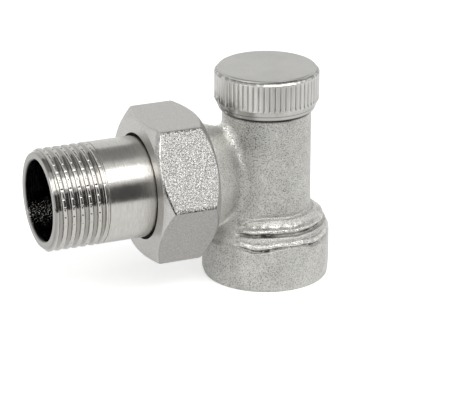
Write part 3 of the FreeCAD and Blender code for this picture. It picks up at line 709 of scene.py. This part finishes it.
def grid_piece(name, points, body, slot, replaced, closed_rows=True):
    """A closed surface from a grid of points in millimetres, with outward faces.

    Each face joins four neighbours. Columns always close round the axis, and rows
    close where the outline does. The signed volume, a sixth of the sum of the triple
    products of the faces' corners, tells whether the faces have to be turned.
    """
    rows, columns = points.shape[:2]
    number = np.arange(rows * columns).reshape(rows, columns)
    ahead = np.roll(number, -1, axis=1)
    above, above_ahead = np.roll(number, -1, axis=0), np.roll(ahead, -1, axis=0)
    faces = np.stack([number, ahead, above_ahead, above], -1)
    if not closed_rows:
        faces = faces[:-1]
    faces = faces.reshape(-1, 4)
    flat = points.reshape(-1, 3)
    a, b, c, d = (flat[faces[:, index]] for index in range(4))
    volume = (np.einsum("ij,ij->", a, np.cross(b, c)) + np.einsum("ij,ij->", a, np.cross(c, d))) / 6
    if volume < 0:
        faces = faces[:, ::-1]
    mesh = bpy.data.meshes.new(name)
    mesh.from_pydata((flat * MM).tolist(), [], faces.tolist())
    soften(mesh)
    piece = bpy.data.objects.new(name, mesh)
    bpy.context.scene.collection.objects.link(piece)
    finish_piece(piece, body, slot, replaced)
    print(name, "faces", len(mesh.polygons), "volume", round(abs(volume)), "cubic mm")


# %% [markdown]
# ## Union nut
# The nut is a chamfered hexagon with a thread at one end. A cylinder of six sides with
# bevelled edges would come close, but would miss the curved edges where a chamfer
# meets a flat. A hexagon is the smallest of six planes at every angle, and a turned
# outline gives the chamfers. At each point the nut takes the smaller of the two radii,
# so the curved edges appear by themselves. A high power mean in place of the largest
# cosine rounds the six corners a little.

# %% Union nut
HALF_WIDTH = 14.4           # from the axis to a flat
SKEW = math.radians(2.0)    # how far the nut is turned past upright
SHARPNESS = 90              # power of the mean: higher makes the corners sharper
EDGE = 0.12                 # width over which chamfer and flat are blended
sector = np.linspace(0, 1, 56, endpoint=False)
crowded = sector - 0.13 * np.sin(TURN * sector)
angle = (np.arange(6)[:, None] + crowded[None] + 0.5).ravel() * TURN / 6 - SKEW
facing = [np.maximum(np.cos(angle + SKEW - side * TURN / 6), 0) for side in range(6)]
hexagon = HALF_WIDTH / sum(value ** SHARPNESS for value in facing) ** (1 / SHARPNESS)
section = outline([
    (28.6, 10.95, 0.1), (26.1, 10.95), (26.1, 12.68), (16.6, 12.68), (16.0, 13.3, 0.15),
    (16.0, 13.85, 0.4), (18.2, 16.5, 0.5), (27.0, 16.5, 0.5), (28.2, 14.75, 0.5), (28.6, 14.0, 0.35)], 0.22)
place, radius = section[:, :1], section[:, 1:]
inner_thread = (radius < 12.8) & (place > 16.4) & (place < 25.9)
thread = inner_thread * ridge(0.5 + place / PIPE_PITCH - angle / TURN) * fade(place, 16.4, 17.2) * 0.7
meeting = np.minimum(radius, hexagon) - EDGE * np.exp(-np.abs(radius - hexagon) / EDGE) * 0.35
grid_piece("hexagon_nut", round_tail(place, np.where(radius > 13.4, meeting, radius + thread), angle),
           "nut", "nut_nickel", "union_nut")

# %% [markdown]
# ## Union tail
# The tail is a tube with a pipe thread at its mouth. The thread could be wound as a
# ridge of its own and joined to the tube, but then its ends would need mending. As a
# groove in the array it needs none: the groove's depth depends on the place along the
# axis less the share of a turn, so that the crests climb one pitch for each turn. The
# valleys are wide and flat, and the thread fades out before the narrow relief groove.
# The crests are nicked across, thirty-six times a turn, so that sealing hemp holds on
# them, and a small chamfer brightens the mouth.

# %% Union tail: outline
MOUTH = 50.0                # end of the tail, from the column's axis
CREST = 10.478              # radius of the thread's crests
THREAD_START = 38.95
NOTCHES = 36                # nicks in one turn
crests = outline([(THREAD_START, CREST), (49.25, CREST)], 0.095, closed=False)
others = outline([
    (49.25, CREST), (MOUTH, 9.73, 0.12), (MOUTH, 8.6, 0.06), (49.6, 8.25, 0.1),
    (24.6, 8.25), (23.6, 7.6), (20.05, 7.6), (20.05, 9.3), (20.35, 9.6), (21.05, 9.6),
    (21.05, 8.56), (22.45, 8.56), (22.45, 9.6), (23.45, 9.6), (23.45, 11.9, 0.1),
    (26.05, 11.9, 0.1), (26.05, 10.43), (38.4, 10.43, 0.08), (38.45, 10.13),
    (38.9, 10.13), (THREAD_START, CREST)], 1.1, closed=False)[1:-1]
section = np.concatenate([crests, others])
place, radius = section[:, :1], section[:, 1:]
print("the tail's outline has", len(section), "points")

# %% Union tail: thread
# Share runs from -0.5 to 0.5 over one pitch, with the middle of the crest at 0.
angle = np.linspace(0, TURN, NOTCHES * 12, endpoint=False)
share = ((MOUTH - place) / PIPE_PITCH + angle / TURN + 0.6) % 1.0 - 0.5
groove = np.interp(np.abs(share), [0.0, 0.06, 0.13, 0.19, 0.30, 0.36, 0.5],
                   [0.0, 0.01, 0.06, 0.22, 0.86, 0.97, 1.0])
scratch = 0.06 * np.exp(-((share - 0.10) / 0.03) ** 2)
beside = np.abs((angle * NOTCHES / TURN) % 1.0 - 0.5) * 2
notch = 0.22 * fade(beside, 0.80, 0.98) * np.exp(-((share + 0.05) / 0.09) ** 2)
depth = (0.58 * groove + scratch + notch) * fade(place, THREAD_START, 39.6) * fade(place, 49.6, 49.0)
threaded = (radius > 9.3) & (place > 38.9) & (place < 49.3)
cut = np.minimum(radius, CREST - depth)
grid_piece("threaded_tail", round_tail(place, np.where(threaded, cut, radius), angle),
           "tail", "polished_nickel", "union_tail")

# %% [markdown]
# ## Shield cap
# The cap is screwed down by hand, so its rim carries sixty straight splines: wide flat
# crests with narrow grooves between them. Sixty small bars set round a disc would do
# for a picture, but not for one closed shell. So eleven points go round each spline,
# and the depth of its groove is taken away from the radius of the rim.

# %% Shield cap
SPLINES = 60
RIM = 10.78                 # radius over the crests


def round_column(place, radius, angle):
    """Points round the column's axis: the place is the height.

    X is the radius times the angle's cosine, and Y the radius times its sine.
    """
    place, radius, angle = np.broadcast_arrays(place, radius, angle)
    return np.stack([radius * np.cos(angle), radius * np.sin(angle), place], -1)


shares = np.array([-0.5, -0.47, -0.42, -0.37, -0.30, -0.12, 0.12, 0.30, 0.37, 0.42, 0.47])
angle = ((np.arange(SPLINES)[:, None] + shares[None]) / SPLINES * TURN).ravel()
away = np.abs(np.tile(shares, SPLINES))
groove = 0.36 * np.interp(away, [0.0, 0.12, 0.30, 0.37, 0.42, 0.47, 0.5],
                          [0.0, 0.0, 0.03, 0.14, 0.55, 0.95, 1.0])
section = outline([
    (44.9, 0.0), (44.9, 9.98, 0.06), (44.74, 10.18, 0.04), (44.46, 10.24, 0.04), (44.36, 10.46, 0.05),
    (43.98, RIM, 0.12), (38.35, RIM, 0.12), (38.15, 10.60, 0.1),
    (36.35, 9.9, 0.15), (36.35, 8.96), (36.65, 8.66), (42.7, 8.66), (42.7, 0.0)], 0.36, closed=False)
place, radius = section[:, :1], section[:, 1:]
rim = fade(radius, 10.3, 10.6) * fade(place, 38.42, 38.62) * fade(place, 43.98, 43.72)
grid_piece("splined_cap", round_column(place, radius - rim * groove, angle),
           "cap", "turned_nickel", "shield_cap", closed_rows=False)

# %% [markdown]
# ## Table and light
# The valve stands on a white table in a white room, as in a catalogue. A white room
# could be had by more light, but that would bleach the metal. Instead the table and the
# room look white only to the camera and to reflections, and the table keeps a soft
# shadow. Shiny metal shows its form when it also mirrors something dark, so one dark
# card stands in front of the valve, another lies before it, and a grey one hangs above
# and behind, all where the camera can't see them, under two wide soft lamps.

# %% Cards
def card(name, centre, aim, width, height, colour):
    """Flat rectangle of the studio that faces a point."""
    turning = (Vector(aim) - Vector(centre)).normalized().to_track_quat("Z", "Y").to_matrix()
    corners = [Vector(centre) + turning @ Vector((side * width / 2, end * height / 2, 0))
               for side, end in ((-1, -1), (1, -1), (1, 1), (-1, 1))]
    mesh = bpy.data.meshes.new(name)
    mesh.from_pydata([tuple(corner) for corner in corners], [], [(0, 1, 2, 3)])
    made = bpy.data.objects.new(name, mesh)
    bpy.context.scene.collection.objects.link(made)
    finish = Finish(name, (colour,) * 3, 0.0)
    finish.paint(Roughness=0.9, Specular_IOR_Level=0.0)
    mesh.materials.append(finish.material)
    return made, finish


# The table glows a little, so that it is white to the camera and bright in reflections.
TABLE_SIZE = 6.0            # in metres, as all lengths of the studio
TO_CAMERA, TO_MIRRORS = 0.52, 0.32
floor, floor_finish = card("table", (0, 0, 0), (0, 0, 1), TABLE_SIZE, TABLE_SIZE, 0.90)
from_camera, from_mirror, through_glass = floor_finish.rays()
glow = from_camera * TO_CAMERA + from_mirror * TO_MIRRORS + through_glass * TO_MIRRORS
floor_finish.paint(Emission_Color=(1, 1, 1, 1), Emission_Strength=glow)
for name, centre, aim, width, height, colour in (
        ("front_card", (0.22, -0.56, 0.178), (0.22, 0, 0.178), 1.1, 0.354, 0.14),
        ("low_card", (0.22, -0.355, 0.001), (0.22, -0.355, 1), 1.1, 0.41, 0.09),
        ("roof_card", (0.25, 0.36, 0.90), (0.25, 0.36, 0), 1.6, 0.86, 0.55)):
    mirrored, _ = card(name, centre, aim, width, height, colour)
    mirrored.visible_camera = False
    mirrored.visible_diffuse = False
    mirrored.visible_shadow = False
print(floor.name, "of", TABLE_SIZE, "m, and three cards")

# %% Lamps
def lamp(name, centre, aim, width, height, power):
    """Wide soft lamp that faces a point."""
    light = bpy.data.lights.new(name, "AREA")
    light.shape = "RECTANGLE"
    light.size, light.size_y = width, height
    light.energy = power
    made = bpy.data.objects.new(name, light)
    made.location = centre
    made.rotation_mode = "QUATERNION"
    made.rotation_quaternion = (Vector(centre) - Vector(aim)).to_track_quat("Z", "Y")
    bpy.context.scene.collection.objects.link(made)
    print(name, power, "W")


lamp("front_lamp", (0.05, -0.52, 0.72), (-0.01, 0, 0.02), 1.40, 0.42, 4.2)
lamp("left_lamp", (-0.75, -0.25, 0.50), (0, 0, 0.02), 0.35, 0.45, 2.4)

# %% Room
ROOM_LIGHT = 0.42           # what the room sheds on the valve, where 1 is white
world = bpy.data.worlds.new("room")
bpy.context.scene.world = world
room = Tree(world)
background = room.nodes["Background"]
from_camera, from_mirror, through_glass = room.rays()
seen = from_camera.maths("MAXIMUM", through_glass).maths("MAXIMUM", from_mirror)
room.feed(background, "Color", (1, 1, 1, 1))
room.feed(background, "Strength", ROOM_LIGHT + seen * (1 - ROOM_LIGHT))
bpy.context.scene.view_settings.view_transform = "Standard"
print("the room has", len(room.nodes), "nodes")
